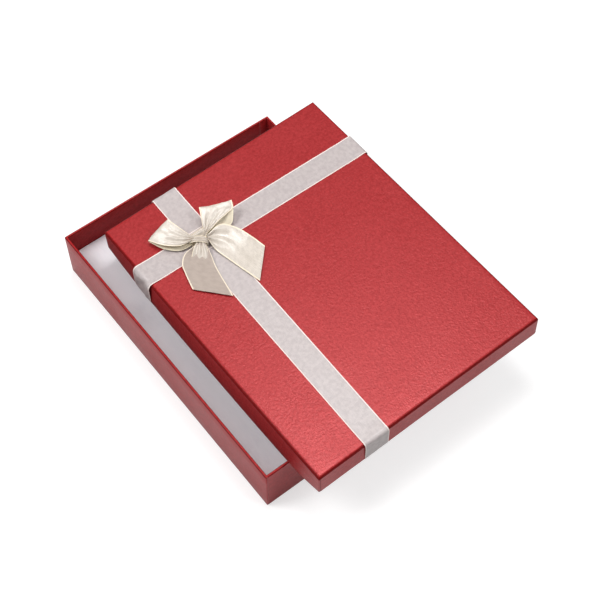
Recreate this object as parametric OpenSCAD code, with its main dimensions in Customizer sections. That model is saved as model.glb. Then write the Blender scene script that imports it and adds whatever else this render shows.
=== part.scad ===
// Rigid gift box: a shallow greyboard tray and its lift-off lid, both wrapped in
// pearl paper, with two satin ribbon bands and a tied bow on the lid.
// The lid lies askew, with its skirt on two of the tray's rims.
// Millimetres, +Z up, +Y along the tray's long side. The origin is the centre of
// the tray's underside.

/* [Tray] */
// Outside width of the tray, along X
base_w = 186; // [150:1:240]
// Outside length of the tray, along Y
base_l = 244; // [200:1:310]
// Outside height of the tray
base_h = 43.5; // [34:0.5:60]

/* [Board and paper] */
// Thickness of the greyboard
board = 1.5; // [1.2:0.1:2.5]
// Thickness of the wrapping paper
paper = 0.2; // [0.15:0.05:0.3]
// Thickness of the white lining paper
liner = 0.2; // [0.15:0.05:0.3]
// Gap between the edge of a lining and the walls around it
liner_gap = 0.3; // [0.2:0.1:1]
// Width of each leg of the paper tape that holds a corner of the board
tape_leg = 20; // [10:1:30]
// Thickness of the corner tape
tape_t = 0.1; // [0.1:0.05:0.2]
// How far the corner tape stops short of the board's upper and lower edges
tape_margin = 1.5; // [0.5:0.5:4]

/* [Platform] */
// Height of the white card platform above the tray's board floor
platform_h = 20.5; // [12:0.5:28]
// Thickness of the platform's card
card = 0.6; // [0.4:0.1:1]
// Gap between the platform and the walls around it
platform_gap = 0.5; // [0.3:0.1:1]
// How far each turned-down side of the platform stops short of its corners
corner_slit = 1.5; // [1.2:0.1:4]

/* [Lid] */
// Outside height of the lid, from its top to the lower edge of its skirt
lid_h = 20; // [14:0.5:30]
// Clearance between the tray and the lid's skirt, on each side
lid_clearance = 0.6; // [0.5:0.1:1.5]
// Distance of the lid's centre from the tray's centre, along X
lid_x = 24; // [15:1:35]
// Distance of the lid's centre from the tray's centre, along Y
lid_y = -27; // [-40:1:-15]
// Tilt of the lid about the line between its two resting places, in degrees
lid_tilt = 2; // [0:0.5:3]
// Gap between the lid's skirt and the rims that it rests on
rest_gap = 0.3; // [0.2:0.1:0.5]

/* [Ribbon bands] */
// Width of the band ribbon
ribbon_w = 20; // [15:1:25]
// Thickness of the ribbon
ribbon_t = 0.3; // [0.2:0.05:0.4]
// Length of ribbon turned in behind the skirt
band_turn_in = 14; // [8:1:16]
// Thickness of the double-sided tape that holds each turned-in end
band_tape_t = 0.1; // [0.05:0.05:0.1]
// From the lid's left edge to the middle of the long band, at its far end
long_band_far = 52.2; // [40:0.1:70]
// From the lid's left edge to the middle of the long band, at its near end
long_band_near = 47.9; // [40:0.1:70]
// From the lid's far edge to the middle of the cross band, at its left end
cross_band_left = 49.5; // [40:0.1:70]
// From the lid's far edge to the middle of the cross band, at its right end
cross_band_right = 54.2; // [40:0.1:70]

/* [Bow] */
// Width of the bow's ribbon
bow_ribbon_w = 22; // [15:1:25]
// Thickness of the bow's ribbon, doubled where it lies in folds
bow_ribbon_t = 0.5; // [0.3:0.1:0.8]
// Length of the left loop, from the knot to its rounded end
left_loop_len = 25; // [18:1:32]
// Length of the right loop, from the knot to its rounded end
right_loop_len = 22; // [18:1:32]
// Height of a loop's open middle
loop_h = 10; // [6:0.5:12]
// Slope of the loops, rising away from the knot, in degrees
loop_rise = 18; // [8:1:24]
// Direction of the left loop, in degrees from +X
left_loop_angle = 133; // [125:1:150]
// Direction of the right loop, in degrees from +X
right_loop_angle = 32; // [25:1:50]
// Reach of the left tail, from the knot's centre to its tip
left_tail_len = 52; // [40:1:60]
// Reach of the right tail, from the knot's centre to its tip
right_tail_len = 55; // [40:1:60]
// Length of the knot, along X
knot_w = 11; // [8:0.5:14]
// Thickness of the knot
knot_d = 7; // [5:0.5:8]
// Diameter of the spot of hot glue under the knot
glue_d = 7; // [4:0.5:7]
// Height of the spot of glue
glue_h = 0.8; // [0.4:0.1:1.5]

/* [Hidden] */
$fn = 48;
corner_names = ["left_near", "right_near", "right_far", "left_far"];
corner_sides = [[-1, -1], [1, -1], [1, 1], [-1, 1]];
end_names = ["far", "near", "right", "left"];

red_paper = [0.72, 0.24, 0.26];
grey_board = [0.60, 0.58, 0.55];
kraft_tape = [0.76, 0.66, 0.50];
white_paper = [0.90, 0.89, 0.90];
satin = [0.90, 0.87, 0.82];
clear_tape = [0.93, 0.93, 0.90];
hot_glue = [0.88, 0.85, 0.72];

// A wall is board with a layer of paper on each side
wall = board + 2 * paper;
lid_w = base_w + 2 * (lid_clearance + wall);
lid_l = base_l + 2 * (lid_clearance + wall);

// Where the skirt crosses the tray's near rim, and where it crosses the right rim
near_rest = [lid_x - lid_w / 2 + wall / 2, -base_l / 2 + wall / 2, 0];
right_rest = [base_w / 2 - wall / 2, lid_y + lid_l / 2 - wall / 2, 0];

// Middle of each band at its two ends, measured from the lid's centre
long_far_x = long_band_far - lid_w / 2;
long_near_x = long_band_near - lid_w / 2;
cross_left_y = lid_l / 2 - cross_band_left;
cross_right_y = lid_l / 2 - cross_band_right;
long_slope = (long_far_x - long_near_x) / lid_l;
cross_slope = (cross_right_y - cross_left_y) / lid_w;

// Where the middles of the two bands cross, on the lid
long_mid_x = (long_far_x + long_near_x) / 2;
cross_mid_y = (cross_left_y + cross_right_y) / 2;
bow_x = (long_mid_x + long_slope * cross_mid_y) / (1 - long_slope * cross_slope);
bow_y = cross_mid_y + cross_slope * bow_x;

// Half width of the gathered ribbon where it leaves the knot
gather = 2.2;
// Where a loop starts: beyond the knot's end, and back from the knot's middle
loop_root_out = 0.8;
loop_root_back = 1.8;
// Gap between the knot and the loops and tails that leave it
knot_gap = 0.3;
// Gap between the tails and the band under them
tail_gap = 0.4;
// Middle of the knot, above the upper band
knot_z = glue_h + knot_d / 2;
// Number of steps around the side view of a loop
loop_steps = 28;
// Room for a cut that goes right through
through = 50;

// ---- Walls, shared by the tray and the lid; each stands open side up ----

// A block centred on Z, from z0 to z1
module block(w, l, z0, z1) {
    translate([-w / 2, -l / 2, z0]) cube([w, l, z1 - z0]);
}

// The space that a tray's board takes up
module board_space(w, l, h) {
    difference() {
        block(w - 2 * paper, l - 2 * paper, paper, h - paper);
        block(w - 2 * (paper + board), l - 2 * (paper + board), paper + board, h);
    }
}

// Paper tape folded round the outside of one corner of the board
module corner_tape(w, l, h, sides) {
    x = sides[0] * (w / 2 - paper - tape_leg / 2);
    y = sides[1] * (l / 2 - paper - tape_leg / 2);
    short = paper + tape_margin;
    difference() {
        translate([x, y, 0]) block(tape_leg, tape_leg, short, h - short);
        translate([x - sides[0] * tape_t, y - sides[1] * tape_t, 0])
            block(tape_leg, tape_leg, 0, h);
    }
}

// Greyboard floor and walls, pressed in under the corner tapes
module board_tray(w, l, h) {
    difference() {
        board_space(w, l, h);
        for (sides = corner_sides) corner_tape(w, l, h, sides);
    }
}

// Paper over the outside and the rim, turned in down to the floor
module wrap_tray(w, l, h) {
    difference() {
        block(w, l, 0, h);
        block(w - 2 * wall, l - 2 * wall, paper + board, h + paper);
        board_space(w, l, h);
    }
}

// White paper laid on the board inside
module floor_lining(w, l) {
    reach = 2 * (wall + liner_gap);
    block(w - reach, l - reach, paper + board, paper + board + liner);
}

// White card platform that stands on the board inside, on its four turned-down sides
module card_platform(w, l) {
    across = w - 2 * (wall + platform_gap);
    along = l - 2 * (wall + platform_gap);
    foot = paper + board;
    top = foot + platform_h;
    block(across, along, top - card, top);
    for (side = [-1, 1]) {
        translate([side * (across - card) / 2, 0, 0])
            block(card, along - 2 * corner_slit, foot, top);
        translate([0, side * (along - card) / 2, 0])
            block(across - 2 * corner_slit, card, foot, top);
    }
}

// ---- Placing: on_lid() puts the lid's own frame where the lid lies ----

// The lid's own frame: centre of the skirt's lower edge, +Z towards the lid's top
module on_lid() {
    translate(near_rest + [0, 0, base_h + rest_gap])
        rotate(a = -lid_tilt, v = right_rest - near_rest)
            translate([lid_x, lid_y, 0] - near_rest)
                children();
}

// Turns a tray upside down to make a lid of it
module as_lid() {
    on_lid() translate([0, 0, lid_h]) mirror([0, 0, 1]) children();
}

// The bow's own frame: on top of the two bands where they cross
module on_bow() {
    on_lid() translate([bow_x, bow_y, lid_h + 2 * ribbon_t]) children();
}

// ---- Ribbon bands, drawn along X in the lid's own frame ----

// Plan of a band's top run. Its middle is at y_low at the -X end and y_high at the +X end.
module band_plan(span, y_low, y_high, width) {
    reach = span / 2 + ribbon_t;
    polygon([
        [-reach, y_low - width / 2], [reach, y_high - width / 2],
        [reach, y_high + width / 2], [-reach, y_low + width / 2]
    ]);
}

// Ribbon round the edge of the skirt at the +X end, with its end turned in
module band_end(span, y) {
    inner = span / 2 - wall - band_tape_t - ribbon_t;
    outer = span / 2 + ribbon_t;
    translate([inner, y - ribbon_w / 2, -ribbon_t])
        cube([outer - inner, ribbon_w, ribbon_t]);
    translate([span / 2, y - ribbon_w / 2, -ribbon_t])
        cube([ribbon_t, ribbon_w, lid_h + ribbon_t]);
    translate([inner, y - ribbon_w / 2, -ribbon_t])
        cube([ribbon_t, ribbon_w, band_turn_in + ribbon_t]);
}

// One whole band: its top run and both ends
module band(span, y_low, y_high) {
    translate([0, 0, lid_h])
        linear_extrude(height = ribbon_t) band_plan(span, y_low, y_high, ribbon_w);
    band_end(span, y_high);
    mirror([1, 0, 0]) band_end(span, y_low);
}

// Double-sided tape between a turned-in end and the skirt at the +X end
module band_end_tape(span, y) {
    margin = 2;
    translate([span / 2 - wall - band_tape_t, y - ribbon_w / 2 + margin, margin])
        cube([band_tape_t, ribbon_w - 2 * margin, band_turn_in - 2 * margin]);
}

// Turns a band drawn along X so that it runs along Y, with +X towards the far end
module along_y() {
    rotate([0, 0, 90]) children();
}

module long_band() {
    along_y() band(lid_l, -long_near_x, -long_far_x);
}

// ---- Bow, drawn in the bow's own frame ----

// One point of a loop's side view, a teardrop with its point at the knot
function teardrop(len, height, turn) = [
    len / 2 * (1 - cos(turn)),
    height * 0.65 * sin(turn) * sin(turn / 2)
];

function teardrop_outline(len, height) = [
    for (i = [0 : loop_steps - 1]) teardrop(len, height, 360 * i / loop_steps)
];

// A loop's ribbon seen from the side, running out along +X
module loop_side_view(len) {
    difference() {
        polygon(teardrop_outline(len, loop_h));
        translate([3 * bow_ribbon_t, 0])
            polygon(teardrop_outline(len - 4 * bow_ribbon_t, loop_h - 2.6 * bow_ribbon_t));
    }
}

// A loop seen from above: gathered at the knot, and full width from half way out
module loop_plan(len) {
    polygon([
        [1, -gather], [len / 2, -bow_ribbon_w / 2], [len, -bow_ribbon_w / 2],
        [len, bow_ribbon_w / 2], [len / 2, bow_ribbon_w / 2], [1, gather]
    ]);
}

// A loop that leaves the knot's end at side -1 or 1, in the direction of angle
module bow_loop(side, len, angle) {
    start = [side * (knot_w / 2 + loop_root_out), loop_root_back, knot_z];
    translate(start) rotate([0, 0, angle]) rotate([0, -loop_rise, 0])
        intersection() {
            rotate([90, 0, 0]) linear_extrude(height = bow_ribbon_w, center = true) loop_side_view(len);
            linear_extrude(height = through, center = true) loop_plan(len);
        }
}

// Plan of the tail on the +X side: out of the knot, round its shoulder and down to a slanted end
module tail_plan(len) {
    slant = bow_ribbon_w;
    inner_x = 10;
    outer_x = inner_x + bow_ribbon_w - 1;
    root_x = knot_w / 2 + knot_gap;
    root_y = -knot_d / 2 - knot_gap;
    polygon([
        [2.5, root_y], [root_x, root_y], [root_x, 1], [16, 1], [24, -3], [27, -12],
        [outer_x, slant - len], [inner_x, -len], [inner_x - 1, 8 - len], [4, -25]
    ]);
}

// Side view of a tail, seen along X: level with the knot, then down to lie just over the lid
module tail_side_view(len) {
    lying = tail_gap;
    raised = knot_z - 2.3;
    polygon([
        [2, raised], [-4, raised], [-16, lying], [-len, lying],
        [-len, lying + bow_ribbon_t], [-16, lying + bow_ribbon_t],
        [-4, raised + bow_ribbon_t], [2, raised + bow_ribbon_t]
    ]);
}

module bow_tail(len) {
    intersection() {
        linear_extrude(height = through, center = true) tail_plan(len);
        rotate([90, 0, 90]) linear_extrude(height = through) tail_side_view(len);
    }
}

// ---- Pieces ----

module base_board() {
    color(grey_board) board_tray(base_w, base_l, base_h);
}

module base_wrap() {
    color(red_paper) wrap_tray(base_w, base_l, base_h);
}

module base_platform() {
    color(white_paper) card_platform(base_w, base_l);
}

module base_corner_tape(sides) {
    color(kraft_tape) corner_tape(base_w, base_l, base_h, sides);
}

module lid_board() {
    color(grey_board) as_lid() board_tray(lid_w, lid_l, lid_h);
}

module lid_wrap() {
    color(red_paper) as_lid() wrap_tray(lid_w, lid_l, lid_h);
}

module lid_liner() {
    color(white_paper) as_lid() floor_lining(lid_w, lid_l);
}

module lid_corner_tape(sides) {
    color(kraft_tape) as_lid() corner_tape(lid_w, lid_l, lid_h, sides);
}

module ribbon_band_long() {
    color(satin) on_lid() long_band();
}

// The cross band steps over the long one where they cross
module ribbon_band_cross() {
    color(satin) on_lid() difference() {
        union() {
            band(lid_w, cross_left_y, cross_right_y);
            translate([0, 0, lid_h]) linear_extrude(height = 2 * ribbon_t) intersection() {
                band_plan(lid_w, cross_left_y, cross_right_y, ribbon_w);
                along_y() band_plan(lid_l, -long_near_x, -long_far_x, ribbon_w + 2 * ribbon_t);
            }
        }
        long_band();
    }
}

module ribbon_end_tape(end) {
    color(clear_tape) on_lid() {
        if (end == "far") along_y() band_end_tape(lid_l, -long_far_x);
        if (end == "near") mirror([0, 1, 0]) along_y() band_end_tape(lid_l, -long_near_x);
        if (end == "right") band_end_tape(lid_w, cross_right_y);
        if (end == "left") mirror([1, 0, 0]) band_end_tape(lid_w, cross_left_y);
    }
}

module bow_glue() {
    color(hot_glue) on_bow() cylinder(d = glue_d, h = glue_h);
}

module bow_knot() {
    color(satin) on_bow() translate([0, 0, knot_z]) rotate([0, 90, 0])
        cylinder(d = knot_d, h = knot_w, center = true);
}

module bow_loop_left() {
    color(satin) on_bow() bow_loop(-1, left_loop_len, left_loop_angle);
}

module bow_loop_right() {
    color(satin) on_bow() bow_loop(1, right_loop_len, right_loop_angle);
}

module bow_tail_left() {
    color(satin) on_bow() mirror([1, 0, 0]) bow_tail(left_tail_len);
}

module bow_tail_right() {
    color(satin) on_bow() bow_tail(right_tail_len);
}

base_board();
base_wrap();
base_platform();
for (i = [0 : 3])
    base_corner_tape(corner_sides[i]);
lid_board();
lid_wrap();
lid_liner();
for (i = [0 : 3])
    lid_corner_tape(corner_sides[i]);
ribbon_band_long();
ribbon_band_cross();
for (end = end_names)
    ribbon_end_tape(end);
bow_glue();
bow_knot();
bow_loop_left();
bow_loop_right();
bow_tail_left();
bow_tail_right();
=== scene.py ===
"""A gift box: a red pearl-paper tray and its lid, which lies askew with a satin ribbon and bow on it."""

import math

import bmesh
import bpy
from mathutils import Matrix, Vector, noise


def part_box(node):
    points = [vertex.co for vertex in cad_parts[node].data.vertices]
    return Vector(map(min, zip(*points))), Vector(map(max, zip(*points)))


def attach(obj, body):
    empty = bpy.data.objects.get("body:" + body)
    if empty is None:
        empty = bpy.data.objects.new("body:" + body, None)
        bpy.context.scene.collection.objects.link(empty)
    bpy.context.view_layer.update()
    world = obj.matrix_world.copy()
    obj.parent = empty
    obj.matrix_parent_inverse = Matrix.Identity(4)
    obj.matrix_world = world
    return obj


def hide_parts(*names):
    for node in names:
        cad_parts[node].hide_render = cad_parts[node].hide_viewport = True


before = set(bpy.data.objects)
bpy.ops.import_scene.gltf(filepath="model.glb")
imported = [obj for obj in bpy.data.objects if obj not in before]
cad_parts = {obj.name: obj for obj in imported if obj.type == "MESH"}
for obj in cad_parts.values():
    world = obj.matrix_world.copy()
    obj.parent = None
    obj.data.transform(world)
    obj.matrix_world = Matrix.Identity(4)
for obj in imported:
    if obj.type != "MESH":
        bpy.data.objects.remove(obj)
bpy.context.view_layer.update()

MM = 0.001

# ---- Driving sizes, in metres ----

BOARD = 1.5 * MM
PAPER = 0.2 * MM
WALL = BOARD + 2 * PAPER
LID_CLEARANCE = 0.6 * MM
REST_GAP = 0.3 * MM
LID_TILT = math.radians(2)
LID_SHIFT = Vector((24, -27, 0)) * MM

tray_low, tray_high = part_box("base_wrap")
TRAY_W, TRAY_L, TRAY_H = tray_high - tray_low
LID_W = TRAY_W + 2 * (LID_CLEARANCE + WALL)
LID_L = TRAY_L + 2 * (LID_CLEARANCE + WALL)
LID_H = 20 * MM

RIM_ROUND = 0.65 * MM
LID_EDGE_ROUND = 1.9 * MM
CORNER_ROUND = 0.4 * MM
SEAM_FROM_CORNER = 1.4 * MM
FLAP_INSIDE = 7 * MM
FLAP_STEP = 0.12 * MM
SEAM_LINE = 0.35 * MM
PAPER_SWELL = 0.12 * MM
SKIRT_BOW = 3.3 * MM
SKIRT_BOW_CENTRE = -20 * MM
SKIRT_BOW_REACH = 145 * MM
CORNER_HOLD = 0.2
GRID = 5 * MM

BAND_W = 20 * MM
RIBBON_T = 0.3 * MM
BAND_TURN_IN = 14 * MM
LONG_BAND_FAR = 52.2 * MM
LONG_BAND_NEAR = 47.9 * MM
CROSS_BAND_LEFT = 49.5 * MM
CROSS_BAND_RIGHT = 54.2 * MM

# ---- Where the lid lies ----

near_rest = Vector((LID_SHIFT.x - LID_W / 2 + WALL / 2, -TRAY_L / 2 + WALL / 2, 0))
right_rest = Vector((TRAY_W / 2 - WALL / 2, LID_SHIFT.y + LID_L / 2 - WALL / 2, 0))
LID_PLACE = (
    Matrix.Translation(near_rest + Vector((0, 0, TRAY_H + REST_GAP)))
    @ Matrix.Rotation(-LID_TILT, 4, (right_rest - near_rest).normalized())
    @ Matrix.Translation(LID_SHIFT - near_rest)
)
UPSIDE_DOWN = Matrix.Translation((0, 0, LID_H)) @ Matrix.Rotation(math.pi, 4, "X")
QUARTER_TURN = Matrix.Rotation(math.pi / 2, 4, "Z")

long_far_x = LONG_BAND_FAR - LID_W / 2
long_near_x = LONG_BAND_NEAR - LID_W / 2
cross_left_y = LID_L / 2 - CROSS_BAND_LEFT
cross_right_y = LID_L / 2 - CROSS_BAND_RIGHT
long_slope = (long_far_x - long_near_x) / LID_L
cross_slope = (cross_right_y - cross_left_y) / LID_W
long_mid_x = (long_far_x + long_near_x) / 2
cross_mid_y = (cross_left_y + cross_right_y) / 2
bow_x = (long_mid_x + long_slope * cross_mid_y) / (1 - long_slope * cross_slope)
bow_y = cross_mid_y + cross_slope * bow_x
BOW_PLACE = LID_PLACE @ Matrix.Translation((bow_x, bow_y, LID_H + 2 * RIBBON_T))


# ---- Shader helpers ----


def new_group(name, inputs, outputs):
    """An empty shader node group with its sockets, and its first and last node."""
    group = bpy.data.node_groups.new(name, "ShaderNodeTree")
    for socket, kind, value in inputs:
        made = group.interface.new_socket(socket, in_out="INPUT", socket_type=kind)
        if value is not None:
            made.default_value = value
    for socket, kind in outputs:
        group.interface.new_socket(socket, in_out="OUTPUT", socket_type=kind)
    return group, group.nodes.new("NodeGroupInput"), group.nodes.new("NodeGroupOutput")


def noise_node(tree, vector, scale, detail=2.0, roughness=0.5):
    """A noise texture read at the given coordinates."""
    node = tree.nodes.new("ShaderNodeTexNoise")
    node.inputs["Detail"].default_value = detail
    node.inputs["Roughness"].default_value = roughness
    if isinstance(scale, (int, float)):
        node.inputs["Scale"].default_value = scale
    else:
        tree.links.new(scale, node.inputs["Scale"])
    tree.links.new(vector, node.inputs["Vector"])
    return node.outputs["Fac"]


def math_node(tree, operation, first, second=None, clamp=False):
    """A math node on two values, each a socket or a number."""
    node = tree.nodes.new("ShaderNodeMath")
    node.operation = operation
    node.use_clamp = clamp
    for socket, value in zip(node.inputs, (first, second)):
        if value is None:
            continue
        if isinstance(value, (int, float)):
            socket.default_value = value
        else:
            tree.links.new(value, socket)
    return node.outputs[0]


def range_node(tree, value, low, high, to_low=0.0, to_high=1.0, smooth=True):
    """Maps a value from one range to another, and stops at its ends."""
    node = tree.nodes.new("ShaderNodeMapRange")
    node.interpolation_type = "SMOOTHSTEP" if smooth else "LINEAR"
    for name, number in zip(("From Min", "From Max", "To Min", "To Max"), (low, high, to_low, to_high)):
        node.inputs[name].default_value = number
    tree.links.new(value, node.inputs["Value"])
    return node.outputs["Result"]


def mix_node(tree, mask, first, second):
    """Mixes two colours, each a socket or four numbers, by a mask."""
    node = tree.nodes.new("ShaderNodeMix")
    node.data_type = "RGBA"
    colours = [socket for socket in node.inputs if socket.type == "RGBA"]
    for socket, value in zip(colours, (first, second)):
        if isinstance(value, (tuple, list)):
            socket.default_value = value
        else:
            tree.links.new(value, socket)
    tree.links.new(mask, node.inputs["Factor"])
    return next(socket for socket in node.outputs if socket.type == "RGBA")


def new_material(name):
    """A material with its Principled shader, its node tree and its object coordinates."""
    material = bpy.data.materials.new(name)
    material.use_nodes = True
    tree = material.node_tree
    shader = tree.nodes["Principled BSDF"]
    coordinates = tree.nodes.new("ShaderNodeTexCoord")
    return material, tree, shader, coordinates


def add_group(tree, group, vector, **values):
    """Places a group in a material, reading the given coordinates."""
    node = tree.nodes.new("ShaderNodeGroup")
    node.node_tree = group
    tree.links.new(vector, node.inputs["Vector"])
    for name, value in values.items():
        node.inputs[name].default_value = value
    return node


def add_bump(tree, shader, height, distance):
    """Feeds a height to the shader's normal."""
    bump = tree.nodes.new("ShaderNodeBump")
    bump.inputs["Distance"].default_value = distance
    bump.inputs["Strength"].default_value = 1.0
    tree.links.new(height, bump.inputs["Height"])
    tree.links.new(bump.outputs["Normal"], shader.inputs["Normal"])


def pebble_group():
    """Embossed grain of pearl paper: small flat pebbles with fine flake speckle between."""
    group, start, end = new_group(
        "pebble_grain",
        [("Vector", "NodeSocketVector", None), ("Pebble Scale", "NodeSocketFloat", 700.0)],
        [("Height", "NodeSocketFloat"), ("Flakes", "NodeSocketFloat"), ("Cloud", "NodeSocketFloat")],
    )
    vector = start.outputs["Vector"]
    cells = group.nodes.new("ShaderNodeTexVoronoi")
    cells.feature = "SMOOTH_F1"
    cells.inputs["Smoothness"].default_value = 0.6
    group.links.new(start.outputs["Pebble Scale"], cells.inputs["Scale"])
    group.links.new(vector, cells.inputs["Vector"])
    pebbles = range_node(group, cells.outputs["Distance"], 0.0, 0.75, 1.0, 0.0)
    grain = noise_node(group, vector, 520.0, detail=4.0, roughness=0.6)
    fine = noise_node(group, vector, 2400.0, detail=2.0)
    broad = noise_node(group, vector, 26.0, detail=3.0)
    height = math_node(group, "ADD", math_node(group, "MULTIPLY", pebbles, 0.5), grain)
    group.links.new(height, end.inputs["Height"])
    coarse_share = math_node(group, "MULTIPLY", grain, 0.6)
    flakes = math_node(group, "ADD", coarse_share, math_node(group, "MULTIPLY", fine, 0.4))
    group.links.new(range_node(group, flakes, 0.34, 0.66), end.inputs["Flakes"])
    group.links.new(range_node(group, broad, 0.3, 0.7), end.inputs["Cloud"])
    return group


def fibre_group():
    """Fibres of paper and board: short streaks, and soft clouds of colour."""
    group, start, end = new_group(
        "paper_fibres",
        [("Vector", "NodeSocketVector", None), ("Fibre Scale", "NodeSocketFloat", 500.0)],
        [("Fibres", "NodeSocketFloat"), ("Clouds", "NodeSocketFloat")],
    )
    vector = start.outputs["Vector"]
    stretch = group.nodes.new("ShaderNodeMapping")
    stretch.inputs["Scale"].default_value = (1.0, 0.25, 1.0)
    group.links.new(vector, stretch.inputs["Vector"])
    streaks = noise_node(
        group, stretch.outputs["Vector"], start.outputs["Fibre Scale"], detail=4.0, roughness=0.7
    )
    clouds = noise_node(group, vector, 40.0, detail=3.0)
    group.links.new(range_node(group, streaks, 0.3, 0.7), end.inputs["Fibres"])
    group.links.new(range_node(group, clouds, 0.3, 0.7), end.inputs["Clouds"])
    return group


def satin_group():
    """Threads, mottle and selvage of satin ribbon.
    Its own map runs along in millimetres and across from 0 to 1."""
    group, start, end = new_group(
        "satin_threads",
        [("Vector", "NodeSocketVector", None), ("Selvage Share", "NodeSocketFloat", 0.035)],
        [("Threads", "NodeSocketFloat"), ("Mottle", "NodeSocketFloat"), ("Selvage", "NodeSocketFloat")],
    )
    vector = start.outputs["Vector"]
    lengthways = group.nodes.new("ShaderNodeMapping")
    lengthways.inputs["Scale"].default_value = (0.12, 60.0, 1.0)
    group.links.new(vector, lengthways.inputs["Vector"])
    threads = noise_node(group, lengthways.outputs["Vector"], 1.6, detail=3.0, roughness=0.6)
    blotches = group.nodes.new("ShaderNodeMapping")
    blotches.inputs["Scale"].default_value = (0.34, 6.0, 1.0)
    group.links.new(vector, blotches.inputs["Vector"])
    mottle = noise_node(group, blotches.outputs["Vector"], 1.0, detail=3.0, roughness=0.55)
    split = group.nodes.new("ShaderNodeSeparateXYZ")
    group.links.new(vector, split.inputs[0])
    from_middle = math_node(group, "ABSOLUTE", math_node(group, "SUBTRACT", split.outputs["Y"], 0.5))
    from_edge = math_node(group, "SUBTRACT", 0.5, from_middle)
    inside = math_node(group, "DIVIDE", from_edge, start.outputs["Selvage Share"])
    group.links.new(range_node(group, inside, 0.7, 1.3, 1.0, 0.0), end.inputs["Selvage"])
    group.links.new(range_node(group, threads, 0.3, 0.7), end.inputs["Threads"])
    group.links.new(range_node(group, mottle, 0.32, 0.68), end.inputs["Mottle"])
    return group


# ---- Materials ----


def pearl_paper(name, light, deep, roughness, specular, pearl, grain_depth, fold=None):
    """Red pearl paper: embossed pebbles with fine flakes between, and a soft sheen.
    Where fold is given, its colour goes over to the fold's two dark colours along a ragged line,
    as the surface turns away from level: this is painted shade on the rounded folds."""
    material, tree, shader, coordinates = new_material(name)
    grain = add_group(tree, PEBBLES, coordinates.outputs["Object"])
    colour = mix_node(tree, grain.outputs["Flakes"], deep, light)
    if fold:
        fold_light, fold_deep = fold
        painted_fold_shade = mix_node(tree, grain.outputs["Flakes"], fold_deep, fold_light)
        split = tree.nodes.new("ShaderNodeSeparateXYZ")
        tree.links.new(coordinates.outputs["Normal"], split.inputs[0])
        ragged = noise_node(tree, coordinates.outputs["Object"], 180.0, detail=4.0)
        level = math_node(tree, "ADD", split.outputs["Z"], math_node(tree, "MULTIPLY", ragged, 0.1))
        # Painted shade: the fold's dark colours where the surface turns away from level.
        colour = mix_node(tree, range_node(tree, level, 0.95, 1.02), painted_fold_shade, colour)
    tree.links.new(colour, shader.inputs["Base Color"])
    patchy = math_node(tree, "MULTIPLY", grain.outputs["Cloud"], 0.06)
    tree.links.new(math_node(tree, "ADD", patchy, roughness), shader.inputs["Roughness"])
    shader.inputs["Specular IOR Level"].default_value = specular
    shader.inputs["Metallic"].default_value = pearl
    add_bump(tree, shader, grain.outputs["Height"], grain_depth)
    return material


def plain_paper(name, light, dark, roughness, fibre_scale=500.0, depth=0.02 * MM, mirrored=1.0):
    """Uncoated paper or board with fibres.
    Mirrored is the share of its colour that shows in shiny things near it; the rest is taken out of glossy
    rays, which paints shade into those reflections."""
    material, tree, shader, coordinates = new_material(name)
    fibres = add_group(tree, FIBRES, coordinates.outputs["Object"], **{"Fibre Scale": fibre_scale})
    blend = math_node(tree, "MULTIPLY", fibres.outputs["Fibres"], fibres.outputs["Clouds"])
    # Glossy rays see this paper darker than it is: painted shade in the reflections of shiny things near it.
    path = tree.nodes.new("ShaderNodeLightPath")
    painted_dark_reflection = math_node(tree, "MULTIPLY", path.outputs["Is Glossy Ray"], 1 - mirrored)
    colour = mix_node(tree, painted_dark_reflection, mix_node(tree, blend, light, dark), (0, 0, 0, 1))
    tree.links.new(colour, shader.inputs["Base Color"])
    uneven = math_node(tree, "MULTIPLY", fibres.outputs["Fibres"], 0.08)
    tree.links.new(math_node(tree, "ADD", uneven, roughness), shader.inputs["Roughness"])
    add_bump(tree, shader, fibres.outputs["Fibres"], depth)
    return material


def clear_glue(name, light, dark, roughness):
    """Clear tape or hot glue: cloudy, with small bubbles."""
    material, tree, shader, coordinates = new_material(name)
    fibres = add_group(tree, FIBRES, coordinates.outputs["Object"], **{"Fibre Scale": 900.0})
    tree.links.new(mix_node(tree, fibres.outputs["Clouds"], light, dark), shader.inputs["Base Color"])
    bubbles = math_node(tree, "MULTIPLY", fibres.outputs["Fibres"], 0.15)
    tree.links.new(math_node(tree, "ADD", bubbles, roughness), shader.inputs["Roughness"])
    add_bump(tree, shader, fibres.outputs["Fibres"], 0.03 * MM)
    return material


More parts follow.
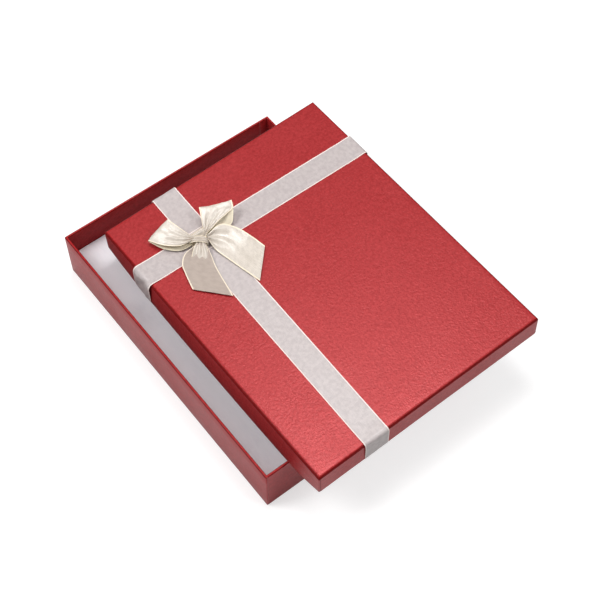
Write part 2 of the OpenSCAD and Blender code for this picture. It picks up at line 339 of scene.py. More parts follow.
def satin(name, light, shade, selvage, roughness, specular, mottle_depth):
    """Satin ribbon: shiny warp threads along it, and a plain woven selvage at each edge."""
    material, tree, shader, coordinates = new_material(name)
    weave = add_group(tree, SATIN, coordinates.outputs["UV"])
    mottled = mix_node(tree, weave.outputs["Mottle"], shade, light)
    colour = mix_node(tree, weave.outputs["Selvage"], mottled, selvage)
    tree.links.new(colour, shader.inputs["Base Color"])
    streaks = math_node(tree, "MULTIPLY", weave.outputs["Threads"], 0.1)
    dull = math_node(tree, "MULTIPLY", weave.outputs["Selvage"], 0.2)
    tree.links.new(
        math_node(tree, "ADD", math_node(tree, "ADD", streaks, roughness), dull), shader.inputs["Roughness"]
    )
    shader.inputs["Anisotropic"].default_value = 0.5
    shader.inputs["Sheen Weight"].default_value = 0.12
    shader.inputs["Sheen Roughness"].default_value = 0.4
    shader.inputs["Specular IOR Level"].default_value = specular
    along = tree.nodes.new("ShaderNodeTangent")
    along.direction_type = "UV_MAP"
    along.uv_map = "ribbon"
    tree.links.new(along.outputs["Tangent"], shader.inputs["Tangent"])
    relief = math_node(
        tree,
        "ADD",
        math_node(tree, "MULTIPLY", weave.outputs["Threads"], 0.12),
        math_node(tree, "MULTIPLY", weave.outputs["Mottle"], mottle_depth),
    )
    height = math_node(tree, "ADD", relief, math_node(tree, "MULTIPLY", weave.outputs["Selvage"], 0.5))
    add_bump(tree, shader, height, 0.15 * MM)
    return material


PEBBLES = pebble_group()
FIBRES = fibre_group()
SATIN = satin_group()

PEARL_LIGHT, PEARL_DEEP = (0.455, 0.030, 0.033, 1), (0.325, 0.013, 0.015, 1)
# Dark colours of the rounded folds and rims: painted shade, used where the paper turns away from level.
FOLD_SHADE_LIGHT, FOLD_SHADE_DEEP = (0.20, 0.004, 0.004, 1), (0.15, 0.002, 0.002, 1)
PEARL_PAPER = pearl_paper("pearl_paper", PEARL_LIGHT, PEARL_DEEP, 0.33, 0.42, 0.2, 0.1 * MM)
FOLD_SHADED_PAPER = pearl_paper(
    "pearl_paper_fold_shade", PEARL_LIGHT, PEARL_DEEP, 0.3, 0.1, 0.0, 0.02 * MM, fold=(FOLD_SHADE_LIGHT, FOLD_SHADE_DEEP)
)
PAPER_EDGE = plain_paper("paper_cut_edge", (0.45, 0.16, 0.16, 1), (0.3, 0.05, 0.05, 1), 0.6)
GREYBOARD = plain_paper("greyboard", (0.36, 0.33, 0.29, 1), (0.24, 0.22, 0.20, 1), 0.85, 350.0, 0.08 * MM)
CORNER_TAPE = plain_paper("corner_tape", (0.56, 0.41, 0.23, 1), (0.44, 0.31, 0.17, 1), 0.6, 420.0)
# The lining shows at 0.15 of its colour in reflections: painted shade in the red walls and skirt that face
# it.
LINING = plain_paper(
    "lining_paper", (0.84, 0.83, 0.86, 1), (0.79, 0.78, 0.82, 1), 0.7, 600.0, mirrored=0.15
)
CLEAR_TAPE = clear_glue("clear_tape", (0.80, 0.80, 0.76, 1), (0.70, 0.70, 0.66, 1), 0.2)
HOT_GLUE = clear_glue("hot_glue", (0.78, 0.73, 0.55, 1), (0.68, 0.62, 0.44, 1), 0.3)
# The bands are the same ribbon as the bow; their greyer, darker colour is painted shade for the dull
# reflection of their flat tops.
BAND_SATIN_PAINTED_SHADE = satin(
    "band_satin", (0.55, 0.485, 0.475, 1), (0.47, 0.41, 0.405, 1), (0.90, 0.78, 0.73, 1), 0.3, 0.8, 0.3
)
BOW_SATIN = satin(
    "bow_satin", (0.69, 0.615, 0.535, 1), (0.60, 0.53, 0.455, 1), (0.94, 0.82, 0.62, 1), 0.22, 1.0, 0.1
)
SATIN_BACK = satin(
    "bow_satin_back", (0.475, 0.395, 0.345, 1), (0.43, 0.355, 0.31, 1), (0.88, 0.77, 0.62, 1), 0.6, 0.2, 0.1
)
# Painted light: a lighter, warmer copy of the bow's satin for the faces inside the loops and one side of the
# knot, which lie in shade.
LOOP_INSIDE_PAINTED_LIGHT = satin(
    "bow_satin_inside_painted_light", (0.90, 0.81, 0.64, 1), (0.84, 0.75, 0.58, 1), (0.96, 0.88, 0.68, 1), 0.4, 0.5, 0.1
)


def dress(piece, *materials):
    """Gives a piece its materials."""
    piece.data.materials.clear()
    for material in materials:
        piece.data.materials.append(material)


# ---- Modelling by hand: folded boards and papers ----


def start_block(name, width, length, height):
    """A block that stands on the ground round the upright axis, open in edit mode."""
    bpy.ops.object.select_all(action="DESELECT")
    bpy.ops.mesh.primitive_cube_add(size=1, location=(0, 0, height / 2), scale=(width, length, height))
    block = bpy.context.object
    block.name = name
    block.data.name = name
    bpy.ops.object.transform_apply(location=True, rotation=True, scale=True)
    bpy.ops.object.mode_set(mode="EDIT")
    bpy.ops.mesh.select_mode(type="FACE")
    bpy.ops.mesh.select_all(action="DESELECT")
    return block


def select_faces(piece, chosen):
    """Selects the faces for which chosen(middle, normal) is true, and no others."""
    bpy.ops.mesh.select_mode(type="FACE")
    bpy.ops.mesh.select_all(action="DESELECT")
    mesh = bmesh.from_edit_mesh(piece.data)
    for face in mesh.faces:
        if chosen(face.calc_center_median(), face.normal):
            face.select_set(True)
    bmesh.update_edit_mesh(piece.data)


def select_edges(piece, chosen):
    """Selects the edges for which chosen(one end, other end) is true, and no others."""
    bpy.ops.mesh.select_mode(type="EDGE")
    bpy.ops.mesh.select_all(action="DESELECT")
    mesh = bmesh.from_edit_mesh(piece.data)
    for edge in mesh.edges:
        if chosen(edge.verts[0].co, edge.verts[1].co):
            edge.select_set(True)
    bmesh.update_edit_mesh(piece.data)


def near(value, target, room=0.02 * MM):
    """Whether two places are the same, within the room given."""
    return abs(value - target) < room


def hollow(piece, height, wall, floor):
    """Sinks the top of a block to its floor, inside its walls; the hollow's bottom is left selected."""
    select_faces(piece, lambda middle, normal: normal.z > 0.9 and near(middle.z, height))
    bpy.ops.mesh.inset(thickness=wall, depth=0)
    bpy.ops.mesh.extrude_region_move(TRANSFORM_OT_translate={"value": (0, 0, floor - height)})


def round_edges(piece, chosen, radius, segments):
    """Rounds the chosen edges."""
    select_edges(piece, chosen)
    bpy.ops.mesh.bevel(offset=radius, segments=segments, profile=0.5, clamp_overlap=True)


def level_edge(width, length, z):
    """Chooses the edges that run round a rectangle at one height."""

    def chosen(a, b):
        at_height = near(a.z, z) and near(b.z, z)
        on_side = near(abs(a.x), width / 2) and near(a.x, b.x)
        on_end = near(abs(a.y), length / 2) and near(a.y, b.y)
        return at_height and (on_side or on_end)

    return chosen


def corner_edge(width, length, height, low_round, high_round):
    """Chooses the edges at the outside corners: the upright ones, and the mitres of rounded edges there."""

    def on_corner(point):
        depth = width / 2 - abs(point.x)
        limit = low_round if point.z < height / 2 else high_round
        return near(depth, length / 2 - abs(point.y)) and depth < limit + 0.02 * MM

    def chosen(a, b):
        same_corner = abs(a.x - b.x) < 3 * MM and abs(a.y - b.y) < 3 * MM
        return same_corner and on_corner(a) and on_corner(b)

    return chosen


def cut_grid(width, length, height, extra_x=()):
    """Cuts the whole surface into a grid, so that it can bend a little everywhere."""
    cuts = [((x, 0, 0), (1, 0, 0)) for x in (*steps_between(width), *extra_x)]
    cuts += [((0, y, 0), (0, 1, 0)) for y in steps_between(length)]
    cuts += [((0, 0, z), (0, 0, 1)) for z in (height * 0.25, height * 0.5, height * 0.75)]
    for spot, direction in cuts:
        bpy.ops.mesh.select_all(action="SELECT")
        bpy.ops.mesh.bisect(plane_co=spot, plane_no=direction)


def steps_between(size):
    """Places of the grid's cuts across a size, away from its ends."""
    count = round(size / GRID)
    return [size * (step / count - 0.5) for step in range(1, count)]


def leave_edit():
    bpy.ops.object.mode_set(mode="OBJECT")


def pick(piece):
    """Selects a piece and nothing else."""
    bpy.ops.object.select_all(action="DESELECT")
    piece.select_set(True)
    bpy.context.view_layer.objects.active = piece


def apply_modifier(piece, kind, **settings):
    """Adds a modifier with its settings and applies it."""
    pick(piece)
    modifier = piece.modifiers.new(kind.lower(), kind)
    for name, value in settings.items():
        setattr(modifier, name, value)
    bpy.ops.object.modifier_apply(modifier=modifier.name)


def place(piece, matrix):
    """Puts a piece in its place, in its mesh."""
    pick(piece)
    piece.matrix_world = matrix
    bpy.ops.object.transform_apply(location=True, rotation=True, scale=True)


def smooth_faces(piece, angle=35):
    """Shades a piece smooth, apart from edges sharper than the angle."""
    pick(piece)
    bpy.ops.object.shade_smooth_by_angle(angle=math.radians(angle))


def dress_paper(piece, folded, seam):
    """Gives a paper its finishes: flat paper, paper with painted shade on its folds where folded(middle) is
    true, and the cut edge's line where seam(middle, normal) is true."""
    dress(piece, PEARL_PAPER, FOLD_SHADED_PAPER, PAPER_EDGE)
    for face in piece.data.polygons:
        face.material_index = 2 if seam(face.center, face.normal) else 1 if folded(face.center) else 0


def lay_end_flaps(piece, width, length):
    """Lays the paper of the two ends over the corners: it stops a little short of each one."""
    flap = width / 2 - SEAM_FROM_CORNER

    def on_end(middle, normal):
        return abs(normal.y) > 0.99 and near(abs(middle.y), length / 2) and abs(middle.x) < flap

    select_faces(piece, on_end)
    bpy.ops.mesh.extrude_region_shrink_fatten(TRANSFORM_OT_shrink_fatten={"value": FLAP_STEP})


def uneven(piece, strength, size):
    """Swells the surface very slightly here and there, as board and paper are never quite flat."""
    texture = bpy.data.textures.new(piece.name + "_unevenness", "CLOUDS")
    texture.noise_scale = size
    texture.noise_depth = 2
    apply_modifier(
        piece, "DISPLACE", texture=texture, texture_coords="LOCAL", strength=strength, mid_level=0
    )


def bow_left_skirt(piece):
    """Bows the lower edge of the lid's left skirt outwards, most near its middle and least at its corners.
    The piece is in the lid's frame."""
    band_of_fade = 2.5 * MM
    bpy.ops.object.select_all(action="DESELECT")
    bpy.ops.object.add(type="LATTICE", location=(-LID_W / 2 + 1.5 * band_of_fade, 0, LID_H / 2))
    cage = bpy.context.object
    cage.scale = (band_of_fade, LID_L, LID_H)
    cage.data.points_u, cage.data.points_v, cage.data.points_w = 2, 15, 2
    for axis in "uvw":
        setattr(cage.data, "interpolation_type_" + axis, "KEY_LINEAR")
    for point in cage.data.points:
        if point.co.x < 0 and point.co.z < 0:
            from_widest = abs(point.co.y * LID_L - SKIRT_BOW_CENTRE)
            bow = SKIRT_BOW * (1 - (from_widest / SKIRT_BOW_REACH) ** 3)
            held_by_corner = CORNER_HOLD if abs(point.co.y) > 0.49 else 1.0
            point.co_deform.x -= bow * held_by_corner / band_of_fade
    apply_modifier(piece, "LATTICE", object=cage)
    bpy.data.objects.remove(cage)


def wrap_paper(name, width, length, height, edge_round, floor):
    """Paper round a tray that stands open side up: outside, underside, over the rim and down inside."""
    paper = start_block(name, width, length, height)
    hollow(paper, height, WALL, floor)
    bpy.ops.mesh.delete(type="FACE")
    inner_w, inner_l = width - 2 * WALL, length - 2 * WALL
    round_edges(paper, level_edge(width, length, 0), edge_round, 6)
    round_edges(paper, level_edge(width, length, height), RIM_ROUND, 3)
    round_edges(paper, level_edge(inner_w, inner_l, height), RIM_ROUND, 3)
    round_edges(paper, corner_edge(width, length, height, edge_round, RIM_ROUND), CORNER_ROUND, 3)
    flap = width / 2 - SEAM_FROM_CORNER
    turn_in = inner_w / 2 - FLAP_INSIDE
    lines = [side * x for side in (-1, 1) for x in (flap, flap + SEAM_LINE, turn_in, turn_in + SEAM_LINE)]
    cut_grid(width, length, height, lines)
    lay_end_flaps(paper, width, length)
    leave_edit()
    uneven(paper, PAPER_SWELL, 0.04)
    apply_modifier(paper, "SOLIDIFY", thickness=PAPER * 0.95, offset=-1, use_even_offset=False)
    return paper


def tray_wrap():
    """The tray's red paper."""
    paper = wrap_paper("tray_wrap", TRAY_W, TRAY_L, TRAY_H, RIM_ROUND, PAPER + BOARD)

    flap, turn_in = TRAY_W / 2 - SEAM_FROM_CORNER, TRAY_W / 2 - WALL - FLAP_INSIDE

    half_line = SEAM_LINE / 2
    mid_wall = TRAY_L / 2 - WALL / 2

    def seam(middle, normal):
        outside = near(abs(middle.x), flap + half_line, half_line) and abs(middle.y) > mid_wall
        inside = near(middle.x, turn_in + half_line, half_line) and abs(middle.y) < mid_wall
        return (outside or inside) and abs(normal.y) > 0.7

    # The rim gets the fold's painted shade.
    dress_paper(paper, lambda middle: middle.z > TRAY_H - RIM_ROUND, seam)
    smooth_faces(paper)
    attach(paper, "base")
    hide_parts("base_wrap")


def lid_wrap():
    """The lid's red paper."""
    paper = wrap_paper("lid_wrap_paper", LID_W, LID_L, LID_H, LID_EDGE_ROUND, PAPER + BOARD)

    # Faces that get the fold's painted shade: the rounded top edges, and the seam lines as a painted shadow.
    def folded(middle):
        in_x = abs(middle.x) > LID_W / 2 - LID_EDGE_ROUND
        in_y = abs(middle.y) > LID_L / 2 - LID_EDGE_ROUND
        # Painted shadow: a dark line beside each end flap's seam, in the fold's dark colours.
        seam_shadow_line = abs(middle.y) > LID_L / 2 - WALL / 2 and near(
            abs(middle.x), LID_W / 2 - SEAM_FROM_CORNER + SEAM_LINE / 2, SEAM_LINE / 2
        )
        return (in_x or in_y) and middle.z < LID_EDGE_ROUND or seam_shadow_line

    dress_paper(paper, folded, lambda middle, normal: False)
    smooth_faces(paper)
    place(paper, UPSIDE_DOWN)
    bow_left_skirt(paper)
    place(paper, LID_PLACE)
    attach(paper, "lid")
    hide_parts("lid_wrap")


def lid_board():
    """The lid's greyboard, rounded along its folds."""
    width, length = LID_W - 2 * PAPER, LID_L - 2 * PAPER
    height = LID_H - 2 * PAPER
    board = start_block("lid_greyboard", width, length, height)
    hollow(board, height, BOARD, BOARD)
    edge_round = LID_EDGE_ROUND - PAPER
    round_edges(board, level_edge(width, length, 0), edge_round, 4)
    round_edges(board, corner_edge(width, length, height, edge_round, 0), CORNER_ROUND - PAPER, 2)
    cut_grid(width, length, height)
    leave_edit()
    dress(board, GREYBOARD)
    smooth_faces(board)
    place(board, UPSIDE_DOWN @ Matrix.Translation((0, 0, PAPER)))
    bow_left_skirt(board)
    place(board, LID_PLACE)
    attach(board, "lid")
    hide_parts("lid_board")


# ---- Ribbon sheets ----


def smooth_line(points, count):
    """Evenly spaced points on a smooth line through the given points."""
    ends = [points[0] * 2 - points[1], *points, points[-1] * 2 - points[-2]]
    fine = []
    parts = 16
    for a, b, c, d in zip(ends, ends[1:], ends[2:], ends[3:]):
        for part in range(parts):
            t = part / parts
            square = (a * 2 - b * 5 + c * 4 - d) * t**2
            cube = (b * 3 - a - c * 3 + d) * t**3
            fine.append((b * 2 + (c - a) * t + square + cube) * 0.5)
    fine.append(points[-1])
    reach = [0.0]
    for a, b in zip(fine, fine[1:]):
        reach.append(reach[-1] + (b - a).length)
    line = []
    at = 0
    for step in range(count):
        wanted = reach[-1] * step / (count - 1)
        while at < len(fine) - 2 and reach[at + 1] < wanted:
            at += 1
        share = (wanted - reach[at]) / max(reach[at + 1] - reach[at], 1e-9)
        line.append(fine[at].lerp(fine[at + 1], min(max(share, 0), 1)))
    return line


def line_length(line):
    return sum((b - a).length for a, b in zip(line, line[1:]))


def ribbon_sheet(name, rows, thickness, finishes):
    """A thin sheet through rows of points that run across the ribbon, with its own map.
    The map runs along in millimetres and across from 0 to 1.
    Its finishes are one material for both sides, or one for each side."""
    across = len(rows[0])
    points = [point for row in rows for point in row]
    faces = []
    for r in range(len(rows) - 1):
        for c in range(across - 1):
            first = r * across + c
            faces.append((first, first + 1, first + across + 1, first + across))
    mesh = bpy.data.meshes.new(name)
    mesh.from_pydata(points, [], faces)
    middle = [row[across // 2] for row in rows]
    along = [0.0]
    for a, b in zip(middle, middle[1:]):
        along.append(along[-1] + (b - a).length / MM)
    layer = mesh.uv_layers.new(name="ribbon")
    for loop in mesh.loops:
        row, column = divmod(loop.vertex_index, across)
        layer.data[loop.index].uv = (along[row], column / (across - 1))
    sheet = bpy.data.objects.new(name, mesh)
    bpy.context.scene.collection.objects.link(sheet)
    dress(sheet, *finishes)
    apply_modifier(
        sheet,
        "SOLIDIFY",
        thickness=thickness,
        offset=0,
        use_even_offset=False,
        material_offset=len(finishes) - 1,
    )
    smooth_faces(sheet, 60)
    return sheet


def smooth_step(value, low, high):
    share = min(max((value - low) / (high - low), 0), 1)
    return share * share * (3 - 2 * share)


def crease(point, start, end, width):
    """Height of a soft crease at a point of the flat ribbon: 1 on its line, 0 away from it."""
    run = end - start
    share = min(max((point - start).dot(run) / run.length_squared, 0), 1)
    distance = (point - start - run * share).length
    return math.exp(-((distance / width) ** 2))


def band_end_line(bulge):
    """Side view of a band's end, in millimetres, from inside the skirt round its edge and on to the lid.
    X is out from the lid's side and Z is up from the skirt's lower edge.
    The bulge is how far it stands off."""
    inside = -WALL / MM - 0.3
    return [
        Vector((inside, 0, BAND_TURN_IN / MM)),
        Vector((inside, 0, 7)),
        Vector((inside, 0, 0.8)),
        Vector((inside / 2, 0, -0.3)),
        Vector((0.3, 0, 0.8)),
        Vector((0.4 + bulge * 0.3, 0, 6)),
        Vector((0.4 + bulge * 0.75, 0, 12)),
        Vector((0.4 + bulge, 0, 17)),
        Vector((0.1 + bulge * 0.7, 0, 19.6)),
        Vector((-1.2 + bulge * 0.1, 0, 20.5 + bulge * 0.15)),
        Vector((-4, 0, 20.4 + bulge * 0.15)),
        Vector((-9, 0, 20.3)),
        Vector((-16, 0, 20.25)),
    ]


def band_line(span, left_bulge, right_bulge):
    """Side view of a whole band, along X, in metres."""
    left = [Vector((-span / 2 / MM - p.x, 0, p.z)) for p in band_end_line(left_bulge)]
    right = [Vector((span / 2 / MM + p.x, 0, p.z)) for p in band_end_line(right_bulge)]
    count = 12
    first, last = left[-1].x, right[-1].x
    top = [Vector((first + (last - first) * step / count, 0, 20.25)) for step in range(1, count)]
    return [p * MM for p in (*left, *top, *reversed(right))]


def band(name, span, y_left, y_right, bulges, creases, lift, turn):
    """A ribbon band drawn along X in the lid's own frame, then turned. It follows the bow of the skirt.
    lift(x) raises it over what it crosses."""
    line = smooth_line(band_line(span, *bulges), round(span / MM * 0.75) + 90)
    across = 17
    rows = []
    reach = 0.0
    for index, point in enumerate(line):
        before, after = line[max(index - 1, 0)], line[min(index + 1, len(line) - 1)]
        reach += (point - line[index - 1]).length if index else 0
        along = (after - before).normalized()
        outward = Vector((-along.z, 0, along.x))
        share = min(max(point.x / span + 0.5, 0), 1)
        middle = y_left + (y_right - y_left) * share
        row = []
        for column in range(across):
            v = column / (across - 1) - 0.5
            y = middle + v * BAND_W
            flat = Vector((reach / MM, v * BAND_W / MM, 0))
            rise = sum(c["height"] * crease(flat, c["start"], c["end"], c["width"]) for c in creases)
            ripple = noise.noise(Vector((reach / MM * 0.09, v * 2.2, span * 10))) * 0.09
            on_top = smooth_step(point.z, 19.5 * MM, 20.2 * MM)
            height = (rise + max(ripple, -0.05)) * MM + lift(point.x) * on_top
            spot = point + outward * height
            row.append(turn @ Vector((spot.x, y, spot.z)))
        rows.append(row)
    ribbon = ribbon_sheet(name, rows, RIBBON_T, [BAND_SATIN_PAINTED_SHADE])
    bow_left_skirt(ribbon)
    place(ribbon, LID_PLACE)
    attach(ribbon, "lid")
    return ribbon


def long_band():
    """The band along the lid's length, under the other one."""
    creases = [
        {"start": Vector((20, -7, 0)), "end": Vector((33, 6, 0)), "width": 1.3, "height": -0.45},
        {"start": Vector((34, -9, 0)), "end": Vector((37, 9, 0)), "width": 1.2, "height": 0.25},
    ]
    ribbon = band(
        "band_long", LID_L, -long_near_x, -long_far_x, (0.5, 0.5), creases, lambda x: 0, QUARTER_TURN
    )
    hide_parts("ribbon_band_long")


def cross_band():
    """The band across the lid, over the long one."""
    creases = [
        {"start": Vector((20, 6, 0)), "end": Vector((36, -5, 0)), "width": 1.5, "height": -0.8},
        {"start": Vector((18, -4, 0)), "end": Vector((33, -9, 0)), "width": 1.6, "height": 0.5},
        {"start": Vector((22, 9, 0)), "end": Vector((34, 5, 0)), "width": 1.4, "height": 0.5},
    ]

    def over_long_band(x):
        off = abs(x - bow_x) - BAND_W / 2
        return (1 - smooth_step(off, 0, 5 * MM)) * RIBBON_T * 1.3

    unturned = Matrix.Identity(4)
    ribbon = band(
        "band_cross", LID_W, cross_left_y, cross_right_y, (1.4, 0.6), creases, over_long_band, unturned
    )
    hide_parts("ribbon_band_cross", "ribbon_end_tape_left")


# ---- Bow, in its own frame in millimetres: X to the right, Y to the far side, Z up from the bands ----


def vectors(*points):
    return [Vector(point) for point in points]


def bow_ribbon(name, first_edge, second_edge, along, pleats, crown, finishes, both_ends=False):
    """A stretch of the bow's ribbon between its two edges, gathered into pleats at the knot.
    Pleats are (how many, how deep, how far they reach), and the crown is how far the middle stands out."""
    across = 37
    first = smooth_line(first_edge, along)
    second = smooth_line(second_edge, along)
    length = (line_length(first) + line_length(second)) / 2
    flat_rows = [[a.lerp(b, c / (across - 1)) for c in range(across)] for a, b in zip(first, second)]
    count, depth, reach = pleats
    rows = []
    for r, row in enumerate(flat_rows):
        before, after = flat_rows[max(r - 1, 0)], flat_rows[min(r + 1, along - 1)]
        share = r / (along - 1)
        from_root = min(share, 1 - share) * length if both_ends else share * length
        gathered = depth * math.exp(-((from_root / reach) ** 1.5))
        arched = crown * smooth_step(from_root, 0, length * 0.2) * (1 if both_ends else 1 - share)
        new_row = []
        for c, point in enumerate(row):
            v = c / (across - 1)
            sideways = row[min(c + 1, across - 1)] - row[max(c - 1, 0)]
            forward = after[c] - before[c]
            normal = forward.cross(sideways).normalized()
            edge_free = math.sin(math.pi * min(max(v, 0.01), 0.99))
            wave = math.sin(2 * math.pi * count * v + 0.8 + from_root * 0.03) * edge_free**0.3
            soft = noise.noise(Vector((from_root * 0.11, v * 2.4, length))) * 0.5
            stand = wave * gathered + arched * edge_free + soft * smooth_step(from_root, 2, 14)
            new_row.append(BOW_PLACE @ ((point + normal * stand) * MM))
        rows.append(new_row)
    ribbon = ribbon_sheet(name, rows, RIBBON_T, finishes)
    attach(ribbon, "lid")
    return ribbon, length


def bow_loop_left():
    """The left loop: over, round its end and back underneath."""
    inner = vectors(
        (-5.0, 2.5, 5.2), (-7.4, 5.0, 6.6), (-10.4, 12.8, 9.6), (-12.6, 19.0, 11.8), (-13.5, 22.0, 12.2),
        (-13.6, 22.3, 11.2), (-12.6, 20.5, 9.6), (-10.2, 13, 6.4), (-7.4, 6, 4.2), (-5.0, 2.5, 3.6),
    )
    outer = vectors(
        (-5.0, -0.5, 5.0), (-9.0, 0.4, 5.8), (-18.0, 1.7, 6.6), (-27.0, 9.9, 5.8), (-31.8, 19.5, 4.4),
        (-32.6, 21.2, 3.4), (-31.6, 19.4, 2.4), (-27.0, 9.2, 1.8), (-18.0, 0.7, 1.6), (-5.0, -1.0, 3.0),
    )
    finishes = [LOOP_INSIDE_PAINTED_LIGHT, BOW_SATIN]
    ribbon, length = bow_ribbon(
        "bow_loop_left_ribbon", inner, outer, 90, (3.5, 0.9, 15), 0.8, finishes, both_ends=True
    )
    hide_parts("bow_loop_left")


def bow_loop_right():
    """The right loop, which stands more open than the left one and lets its outer edge droop."""
    inner = vectors(
        (1.0, 1.0, 5.2), (2.4, 2.2, 6.6), (5.2, 7.5, 9.4), (8.4, 13.8, 11.8), (9.7, 16.4, 12.0),
        (10.2, 17.2, 10.6), (9.4, 15.2, 8.6), (6.4, 9.0, 5.4), (3.0, 3.2, 3.6), (0.5, 1.0, 3.0),
    )
    outer = vectors(
        (0.6, -3.4, 5.6), (3.4, -1.6, 6.5), (7.6, -1.1, 7.2), (15.4, 0.6, 8.2), (22.6, 1.5, 9.0),
        (28.6, 2.2, 9.5), (30.4, 3.8, 10.4), (31.9, 7.4, 11.4), (31.6, 6.6, 10.2), (28.9, 1.6, 8.6),
        (26.6, -1.0, 6.0), (23.8, -3.4, 3.2), (19.0, -3.8, 1.6), (12.0, -2.6, 1.0), (1.0, -2.2, 2.2),
    )
    finishes = [BOW_SATIN, LOOP_INSIDE_PAINTED_LIGHT]
    ribbon, length = bow_ribbon(
        "bow_loop_right_ribbon", inner, outer, 90, (3.5, 0.9, 15), 0.6, finishes, both_ends=True
    )
    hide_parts("bow_loop_right")


def bow_tail_right():
    """The right tail: out of the knot, round its shoulder and down to a slanted end."""
    outer = vectors(
        (1.8, -2.9, 6.0), (6.5, -2.1, 6.8), (12.1, -1.1, 6.8), (17.0, -2.2, 6.0), (21.7, -6.8, 4.4),
        (25.4, -12.7, 2.8), (28.4, -22.8, 1.5), (30.4, -33.2, 1.0),
    )
    inner = vectors(
        (1.0, -5.4, 5.2), (0.9, -10.0, 3.2), (1.5, -16.2, 1.4),
        (4.3, -28.9, 0.8), (7.6, -44.5, 0.8), (9.9, -54.5, 1.0),
    )
    ribbon, length = bow_ribbon(
        "bow_tail_right_ribbon", inner, outer, 70, (2.3, 1.1, 16), -1.0, [SATIN_BACK, BOW_SATIN]
    )
    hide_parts("bow_tail_right")


def bow_tail_left():
    """The left tail, its root tucked under the knot and its dull side up."""
    outer = vectors(
        (-6.5, -4.0, 4.6), (-12.0, -4.0, 4.6), (-19.0, -4.6, 3.6),
        (-24.8, -9.4, 2.0), (-27.4, -17.0, 1.0), (-30.9, -30.5, 1.0),
    )
    inner = vectors(
        (-2.5, -6.5, 4.8), (-3.0, -11.2, 3.4), (-4.6, -18.0, 1.6),
        (-7.0, -26.4, 0.9), (-10.2, -43.5, 0.9), (-12.0, -52.9, 1.2),
    )
    ribbon, length = bow_ribbon(
        "bow_tail_left_ribbon", outer, inner, 70, (2.3, 1.0, 12), -0.8, [BOW_SATIN, SATIN_BACK]
    )
    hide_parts("bow_tail_left")


def bow_fold(name, first_edge, second_edge, pleats, crown):
    """A short fold of the bow's ribbon that shows beside the knot and belongs to it."""
    ribbon, length = bow_ribbon(name, first_edge, second_edge, 30, pleats, crown, [BOW_SATIN])
    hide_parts("bow_knot")


def bow_back_fold():
    """The ribbon that runs from one loop to the other behind the knot."""
    far_edge = vectors((-8.0, 5.2, 5.4), (-4.0, 5.0, 6.0), (1.0, 4.8, 6.6), (5.8, 4.6, 6.6))
    near_edge = vectors((-6.6, 2.6, 5.0), (-4.2, 0.2, 5.4), (-0.5, -1.0, 5.6), (2.8, -0.8, 5.8))
    bow_fold("bow_back_fold", far_edge, near_edge, (1.2, 1.1, 40), 0.2)


def bow_root_fold():
    """The shiny fold where the left tail leaves the knot and turns its dull side up."""
    left_edge = vectors((-6.8, -2.8, 5.2), (-10.0, -4.4, 5.0), (-13.6, -6.8, 3.7), (-17.0, -9.5, 1.2))
    right_edge = vectors((-3.0, -6.2, 5.4), (-3.4, -9.6, 4.8), (-4.6, -13.6, 3.0), (-6.8, -18.4, 0.4))
    bow_fold("bow_root_fold", left_edge, right_edge, (2.6, 0.8, 20), 0.5)


def bow_knot():
    """The knot: a gathered turn of ribbon over the roots of the loops and tails."""
    left_end, right_end = Vector((-9.4, 2.2, 0)), Vector((0.6, -6.0, 0))
    run = (right_end - left_end).normalized()
    side = Vector((-run.y, run.x, 0))
    half = (right_end - left_end).length / 2
    middle = (left_end + right_end) / 2
    turns = 40
    near_edge, far_edge = [], []
    for step in range(turns + 1):
        angle = 2 * math.pi * step / turns
        out = -math.cos(angle) * half
        up = 3.4 + math.sin(angle) * 3.2
        spot = middle + run * out + Vector((0, 0, up))
        near_edge.append(spot - side * 2.6)
        far_edge.append(spot + side * 2.6)
    ribbon, length = bow_ribbon(
        "bow_knot_ribbon", near_edge, far_edge, 80, (3, 0.6, 1000), 0, [LOOP_INSIDE_PAINTED_LIGHT, BOW_SATIN]
    )
    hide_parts("bow_knot")


# ---- Light, floor and camera ----


def soft_lamp(name, place_at, size, power):
    """A large square lamp that faces the middle of the tray's underside."""
    lamp = bpy.data.lights.new(name, "AREA")
    lamp.shape = "SQUARE"
    lamp.size = size
    lamp.energy = power
    holder = bpy.data.objects.new(name, lamp)
    holder.location = place_at
    holder.rotation_euler = (-Vector(place_at)).to_track_quat("-Z", "Y").to_euler()
    bpy.context.scene.collection.objects.link(holder)


def seen_directly(tree, glossy_share):
    """1 for rays that show the background directly or through glass, and a share of that for glossy rays."""
    path = tree.nodes.new("ShaderNodeLightPath")
    glossy = math_node(tree, "MULTIPLY", path.outputs["Is Glossy Ray"], glossy_share)
    glass = math_node(tree, "ADD", glossy, path.outputs["Is Transmission Ray"])
    return math_node(tree, "ADD", glass, path.outputs["Is Camera Ray"], clamp=True)


def studio_world(level):
    """Even white light all round, which looks white where it shows."""
    world = bpy.data.worlds.new("studio")
    bpy.context.scene.world = world
    world.use_nodes = True
    tree = world.node_tree
    background = tree.nodes["Background"]
    background.inputs["Color"].default_value = (1, 1, 1, 1)
    seen = seen_directly(tree, 0.2)
    tree.links.new(range_node(tree, seen, 0, 1, level, 1.0, smooth=False), background.inputs["Strength"])


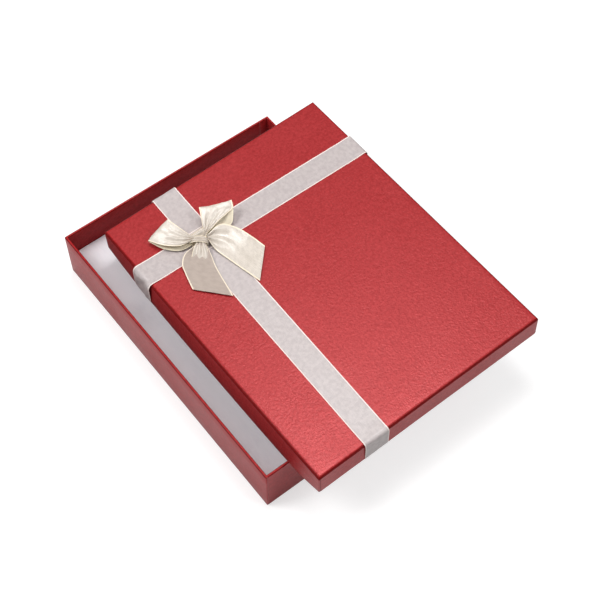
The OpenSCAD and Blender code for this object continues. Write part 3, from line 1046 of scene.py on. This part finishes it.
def studio_floor():
    """A plain white floor that keeps a soft shadow."""
    bpy.ops.object.select_all(action="DESELECT")
    bpy.ops.mesh.primitive_plane_add(size=6, location=(0, 0, -0.2 * MM))
    floor = bpy.context.object
    floor.name = "floor"
    material, tree, shader, coordinates = new_material("floor_white")
    speck = noise_node(tree, coordinates.outputs["Object"], 3.0)
    white = mix_node(tree, speck, (0.55, 0.55, 0.55, 1), (0.57, 0.57, 0.57, 1))
    tree.links.new(white, shader.inputs["Base Color"])
    shader.inputs["Roughness"].default_value = 0.9
    shader.inputs["Specular IOR Level"].default_value = 0.1
    shader.inputs["Emission Color"].default_value = (1, 1, 1, 1)
    glow = math_node(tree, "MULTIPLY", seen_directly(tree, 0.4), 0.6)
    tree.links.new(glow, shader.inputs["Emission Strength"])
    dress(floor, material)


def studio_camera():
    """The camera looks down on the near left corner."""
    azimuth, elevation = math.radians(-37.91), math.radians(58)
    distance = 1.0241
    target = Vector((26.27, -5.11, 0)) * MM
    level_share = math.cos(elevation)
    back = Vector((math.sin(azimuth) * level_share, -math.cos(azimuth) * level_share, math.sin(elevation)))
    camera = bpy.data.cameras.new("camera")
    camera.sensor_width = 36
    camera.lens = 82.22
    camera.clip_start = 0.01
    holder = bpy.data.objects.new("camera", camera)
    holder.location = target + back * distance
    holder.rotation_euler = (-back).to_track_quat("-Z", "Y").to_euler()
    bpy.context.scene.collection.objects.link(holder)
    bpy.context.scene.camera = holder


# ---- Building the box ----


def dress_hidden_nodes():
    """Materials for the CAD nodes that stay as they are."""
    finishes = {
        "base_board": GREYBOARD,
        "base_platform": LINING,
        "lid_liner": LINING,
        "bow_glue": HOT_GLUE,
    }
    for node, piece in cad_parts.items():
        if "corner_tape" in node:
            dress(piece, CORNER_TAPE)
        elif "end_tape" in node:
            dress(piece, CLEAR_TAPE)
        elif node in finishes:
            dress(piece, finishes[node])


dress_hidden_nodes()
tray_wrap()
lid_board()
lid_wrap()
long_band()
cross_band()
bow_loop_left()
bow_loop_right()
bow_tail_right()
bow_tail_left()
bow_back_fold()
bow_root_fold()
bow_knot()

studio_world(0.27)
studio_floor()
soft_lamp("key_lamp", (0.24, 0.22, 1.5), 0.5, 8.5)
soft_lamp("left_lamp", (-0.75, 0.45, 1.3), 0.6, 11)
soft_lamp("near_lamp", (0.55, -0.8, 1.4), 0.5, 7)
studio_camera()

bpy.context.scene.view_settings.view_transform = "Standard"
